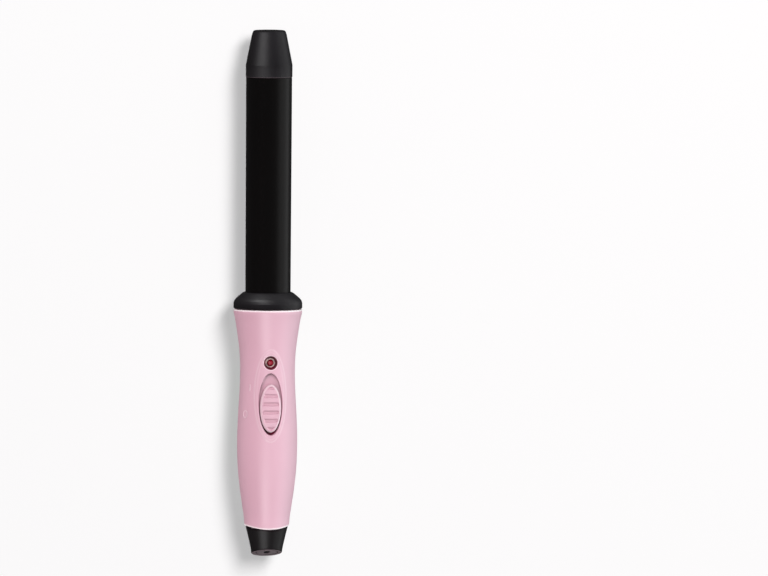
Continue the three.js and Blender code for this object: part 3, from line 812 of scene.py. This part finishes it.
def knob_height(x, v):
    """Top of the knob at (x, v) from its centre: crowned, rounded at the rim, with grooves across it."""
    top = KNOB_HIGH[2] + 0.1 - x**2 / 24.0 - v**2 / 230.0
    rim = 0.85
    short = np.clip(rim - knob_inside(x, v), 0, rim)
    top = top - (rim - np.sqrt(np.maximum(rim**2 - short**2, 0)))
    return top - 0.5 * knob_groove(x, v)


def knob_tone(x, y, z):
    """Painted shade in the grooves and down the side, with a painted highlight on the rim."""
    v = y - KNOB_Y
    inside = knob_inside(x, v)
    top = knob_height(x, v) - 0.1 < z
    rim = 0.4 * np.exp(-((inside - 0.3) / 0.35) ** 2)
    return np.where(top, rim - 0.2 * knob_groove(x, v), -0.3 - 0.7 * ease((2.0 - v) / 8))


def build_knob():
    bottom = RECESS_FLOOR_Z + 0.25
    rows, cols = 220, 44
    v = -KNOB_B * np.cos(math.pi * np.arange(rows + 1) / rows)
    t = -np.cos(math.pi * np.arange(cols + 1) / cols)
    half = KNOB_A * np.sqrt(np.maximum(1 - (v / KNOB_B) ** 2, 0))
    x = half[:, None] * t[None, :]
    vv = np.repeat(v[:, None], cols + 1, 1)
    top = np.stack([x, vv + KNOB_Y, knob_height(x, vv)], -1)
    base = np.stack([x * 0.985, vv * 0.992 + KNOB_Y, np.full_like(x, bottom)], -1)
    count = cols + 1
    vertices = np.concatenate([top.reshape(-1, 3), base.reshape(-1, 3)])
    shift = len(vertices) // 2
    faces = []
    for i in range(rows):
        for j in range(cols):
            a = i * count + j
            faces.append((a, a + 1, a + count + 1, a + count))
            faces.append((shift + a, shift + a + 1, shift + a + count + 1, shift + a + count))
        for j in (0, cols):
            a = i * count + j
            faces.append((a, a + count, shift + a + count, shift + a))
    knob = (vertices, clean(vertices, faces))
    prongs = [prong(KNOB_Y - 2.1), prong(KNOB_Y + 2.1)]
    finish_mesh("switch_slider", *merge(knob, *prongs), PINK, "switch", ["switch_knob"], knob_tone)


def prong(y):
    low, high = KNOB_LOW[2], RECESS_FLOOR_Z + 0.6
    corners = [(sx * 1.2, y + sy * 0.6, z) for z in (low, high) for sx, sy in ((-1, -1), (1, -1), (1, 1), (-1, 1))]
    sides = [(0, 1, 5, 4), (1, 2, 6, 5), (2, 3, 7, 6), (3, 0, 4, 7), (0, 1, 2, 3), (4, 5, 6, 7)]
    return np.array(corners), sides


# ---------------------------------------------------------------- power light
def build_light():
    top, low = LIGHT_HIGH[2], LIGHT_LOW[2]
    body, flange = 1.42, 1.95
    dome = [(body * math.cos(t), top - body + body * math.sin(t)) for t in np.linspace(0, math.pi / 2, 14)]
    profile = [(0, low), (body, low), *dome]

    # Painted highlight in the middle of the lamp, painted shade round its edge.
    def tone(x, y, z):
        r = np.hypot(x, y - LIGHT_Y)
        return 0.4 * np.exp(-((r / 0.5) ** 2)) - ease((r - 1.1) / 0.22)

    finish_mesh("lamp_red", *revolve(profile, 48, along_z(0, LIGHT_Y), False), LENS, "wand", ["power_light"], tone)
    ring = rounded([(body + 0.02, low, 0), (flange, low, 0.1), (flange, low + 1.0, 0.2), (body + 0.02, low + 1.0, 0.1),
                    (body + 0.02, low, 0)])
    finish_mesh("lamp_rim", *revolve(ring[:-1], 48, along_z(0, LIGHT_Y), True), RIM, "wand", ["power_light"])


# ---------------------------------------------------------------- end cap and swivel
def build_cap():
    sides, rows = 144, 40
    angle = np.arange(sides) * 2 * math.pi / sides
    sin, cos = np.sin(angle), np.cos(angle)
    tan = math.tan(SLANT)
    face_y0 = SWIVEL_POINT[1] - SWIVEL_POINT[2] * tan
    end_y = np.full(sides, face_y0)
    for _ in range(8):
        end_y = face_y0 + cap_radius(end_y) * cos * tan
    top_y = seam_y(8.9 * sin) - SEAM_GAP
    rim = 0.4
    loops = []
    # Outside, from the seam down to the slanted end.
    for k in range(4):
        t = k / 3 * math.pi / 2
        y = top_y - 0.2 * (1 - math.cos(math.pi / 2 - t))
        loops.append((cap_radius(y) - 0.2 * (1 - math.sin(t)), y))
    for t in np.linspace(0, 1, rows)[1:]:
        y = top_y - 0.2 + (end_y + rim - top_y + 0.2) * t
        loops.append((cap_radius(y), y))
    points = [np.stack([r * sin, y, r * cos], -1) for r, y in loops]
    radius = cap_radius(end_y)
    for k in range(1, 6):
        t = k / 5 * math.pi / 2
        r = radius - rim * (1 - math.cos(t))
        y = face_y0 + r * cos * tan + rim * (1 - math.sin(t))
        points.append(np.stack([r * sin, y, r * cos], -1))
    face_edge = points[-1]
    bore, cavity = 4.62, 5.3

    def slanted(r, depth):
        return on_swivel(np.full(sides, r), np.full(sides, float(depth)), angle)

    mouth = slanted(bore + 0.12, 0)
    points.append(face_edge * 0.5 + mouth * 0.5)
    points.append(mouth)
    points += [slanted(bore, 0.12), slanted(bore, 4.0), slanted(cavity, 4.0), slanted(cavity, 6.2)]
    for r, y in ((5.6, -99.5), (5.6, -92.8), (7.3, -92.8), (7.3, -94.3), (6.6, -94.5)):
        points.append(np.stack([r * sin, np.full(sides, y), r * cos], -1))
    points.append(np.stack([6.6 * sin, top_y, 6.6 * cos], -1))
    vertices = np.concatenate(points)
    count = len(points)
    faces = []
    for i in range(count):
        m = (i + 1) % count
        for j in range(sides):
            k = (j + 1) % sides
            faces.append((i * sides + j, i * sides + k, m * sides + k, m * sides + j))

    # Painted light on the slanted end face, painted shade on the cap just below the seam.
    def tone(x, y, z):
        on_face = np.abs(y - face_y0 - z * tan) < 0.06
        return np.where(on_face, 1.0, -1.0 * ease((y - seam_y(x) + 1.1) / 0.7))

    finish_mesh("cap_shell", vertices, faces, BLACK, "wand", ["end_cap"], tone)


def build_swivel():
    sides = 96
    angle = np.arange(sides) * 2 * math.pi / sides
    radius, flange = 4.4, 5.0

    def loop(half_x, half_up, depth):
        r = np.hypot(half_x * np.sin(angle), half_up * np.cos(angle))
        turn = np.arctan2(half_x * np.sin(angle), half_up * np.cos(angle))
        return on_swivel(r, np.full(sides, float(depth)), turn)

    points = [loop(0.001, 0.001, 3.2), loop(0.6, 1.6, 3.2), loop(1.2, 2.7, 3.2), loop(1.3, 2.8, 3.05)]
    points += [loop(1.3, 2.8, 0.25), loop(1.36, 2.86, 0.1), loop(1.5, 3.0, 0.0)]
    for t in (0.25, 0.5, 0.75):
        points.append(loop(1.5 + (4.15 - 1.5) * t, 3.0 + (4.15 - 3.0) * t, 0.0))
    points += [loop(4.15, 4.15, 0), loop(4.32, 4.32, 0.07), loop(radius, radius, 0.25), loop(radius, radius, 4.3)]
    points += [loop(flange, flange, 4.3), loop(flange, flange, 5.7), loop(4.5, 4.5, 5.7), loop(4.5, 4.5, 5.0)]
    points += [loop(2.9, 2.9, 5.0), loop(2.9, 2.9, 5.7), loop(1.2, 1.2, 5.7), loop(1.2, 1.2, 4.2), loop(0.001, 0.001, 4.2)]
    vertices = np.concatenate(points)
    faces = []
    for i in range(len(points) - 1):
        for j in range(sides):
            k = (j + 1) % sides
            faces.append((i * sides + j, i * sides + k, (i + 1) * sides + k, (i + 1) * sides + j))

    # Painted light on the end face of the bush.
    def tone(x, y, z):
        depth = (SWIVEL_POINT - np.stack([x, y, z], -1)) @ SWIVEL_OUT
        return ease((0.3 - depth) / 0.2)

    finish_mesh("swivel_bush", vertices, clean(vertices, faces), CHARCOAL, "swivel", ["cord_swivel"], tone)


# ---------------------------------------------------------------- floor, light and camera
def build_floor():
    bpy.ops.mesh.primitive_plane_add(size=6.0, location=(0, 0, -0.0001))
    floor = bpy.context.object
    floor.name = "floor"
    floor.visible_glossy = False  # its glare would pale both sides of the black plastic
    material = bpy.data.materials.new("pale_floor")
    material.use_nodes = True
    shader = material.node_tree.nodes["Principled BSDF"]
    noise = material.node_tree.nodes.new("ShaderNodeTexNoise")
    noise.inputs["Scale"].default_value = 3.0
    ramp = material.node_tree.nodes.new("ShaderNodeValToRGB")
    ramp.color_ramp.elements[0].color = (0.93, 0.925, 0.928, 1)
    ramp.color_ramp.elements[1].color = (0.95, 0.945, 0.948, 1)
    material.node_tree.links.new(noise.outputs["Fac"], ramp.inputs["Fac"])
    material.node_tree.links.new(ramp.outputs["Color"], shader.inputs["Base Color"])
    shader.inputs["Roughness"].default_value = 0.9
    shader.inputs["Specular IOR Level"].default_value = 0.1
    floor.data.materials.append(material)
    floor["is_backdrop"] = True
    return floor


def area_light(name, location, target, size, power, colour=(1, 1, 1)):
    data = bpy.data.lights.new(name, "AREA")
    data.shape = "RECTANGLE"
    data.size, data.size_y = size
    data.energy = power
    data.color = colour
    obj = bpy.data.objects.new(name, data)
    bpy.context.scene.collection.objects.link(obj)
    obj.location = location
    direction = Vector(target) - Vector(location)
    obj.rotation_euler = direction.to_track_quat("-Z", "Y").to_euler()
    return obj


def receivers(light, objects, state):
    """Lets a light reach only these objects, or everything but them."""
    group = bpy.data.collections.new(light.name + "_receivers")
    for obj in objects:
        group.objects.link(obj)
    for entry in group.collection_objects:
        entry.light_linking.link_state = state
    light.light_linking.receiver_collection = group


def build_lights(floor, barrel, collar):
    world = bpy.data.worlds.new("studio")
    bpy.context.scene.world = world
    world.use_nodes = True
    back = world.node_tree.nodes["Background"]
    back.inputs["Color"].default_value = (0.97, 0.985, 1.0, 1)
    back.inputs["Strength"].default_value = 0.05
    key = area_light("key", (1.22, 1.8, 4.2), (0, 0, 0), (1.4, 2.1), 134.0, (1.0, 0.985, 0.985))
    key.visible_glossy = False
    wash = area_light("floor_wash", (0, 0, 4.0), (0, 0, 0), (2.0, 2.0), 83.0)
    receivers(wash, [floor], "INCLUDE")
    wash.light_linking.blocker_collection = wash.light_linking.receiver_collection
    wash.visible_glossy = False
    for name, place, power, colour in (("fill_left", (-2.2, 0.4, 2.5), 66.0, (1.0, 0.79, 0.83)),
                                       ("fill_right", (3.0, -0.4, 1.3), 44.0, (1.0, 1.0, 1.0))):
        fill = area_light(name, place, (0, 0, 0), (1.6, 1.6), power, colour)
        receivers(fill, [floor], "EXCLUDE")
        fill.visible_glossy = False
    # Soft highlights only: left of the middle on the sloping black parts, down the middle of the sloping pink
    # ones, and growing towards every right edge.
    pink = [obj for obj in bpy.data.objects if obj.type == "MESH" and obj.data.materials[:] == [PINK]]
    others = [floor, barrel, *pink]
    for name, place, target, size, power, state, group in (
        ("glint_tip", (-2.2, 1.9, 2.2), (0, 1.9, 0), (2.6, 2.9), 60.0, "EXCLUDE", [*others, collar]),
        ("glint_collar", (-1.6, 3.8, 2.1), (0, 0, 0), (2.0, 4.6), 150.0, "INCLUDE", [collar]),
        ("glint_cap", (-1.3, -1.9, 2.6), (0, -1.9, 0), (2.2, 2.4), 44.0, "EXCLUDE", [*others, collar]),
        ("glint_handle", (-0.8, -1.4, 3.0), (0, 0, 0), (1.6, 1.6), 48.0, "INCLUDE", pink),
        ("sheen_handle", (2.2, 0, 2.6), (0, 0, 0), (6.0, 3.2), 45.0, "INCLUDE", pink),
        ("softbox_right", (2.6, 0.6, 1.1), (0, 0.6, 0), (6.0, 2.4), 20.0, "EXCLUDE", [floor]),
        ("card_right", (1.0, 0, 0.002), (1.0, 0, 1), (1.9, 5.0), 23.0, "EXCLUDE", [floor]),
    ):
        glint = area_light(name, place, target, size, power)
        receivers(glint, group, state)
        glint.visible_diffuse = False
        glint.visible_camera = False


def build_camera():
    """Looks down on the wand, a little from its tip side, with the switch turned a little to the right."""
    roll, tilt, lean = math.radians(7.2), math.radians(3.3), math.radians(LEAN)
    to_camera = Vector((-math.sin(roll) * math.cos(tilt), math.sin(tilt), math.cos(roll) * math.cos(tilt)))
    along = (Vector((0, 1, 0)) - to_camera * to_camera.y).normalized()
    side = along.cross(to_camera)
    up = along * math.cos(lean) - side * math.sin(lean)
    right = up.cross(to_camera)
    data = bpy.data.cameras.new("camera")
    data.sensor_width = 36.0
    data.lens = 1000.0
    data.clip_end = 50.0
    distance = FRAME_WIDTH * MM * data.lens / data.sensor_width
    target = Vector(ORIGIN) + (right * AIM_RIGHT + up * AIM_UP) * MM
    camera = bpy.data.objects.new("camera", data)
    bpy.context.scene.collection.objects.link(camera)
    rotation = Matrix((right, up, to_camera)).transposed()
    camera.matrix_world = Matrix.Translation(target + to_camera * distance) @ rotation.to_4x4()
    bpy.context.scene.camera = camera


paint_inner_nodes()
barrel_tube = build_barrel()
build_tip()
collar_ring = build_collar()
build_handle()
build_marks()
build_knob()
build_light()
build_cap()
build_swivel()
build_lights(build_floor(), barrel_tube, collar_ring)
build_camera()
bpy.context.scene.view_settings.view_transform = "Standard"

boxes = {"cad": CAD_BOUNDS, "visual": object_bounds()}
{name: [list(corner) for corner in box] for name, box in boxes.items()}
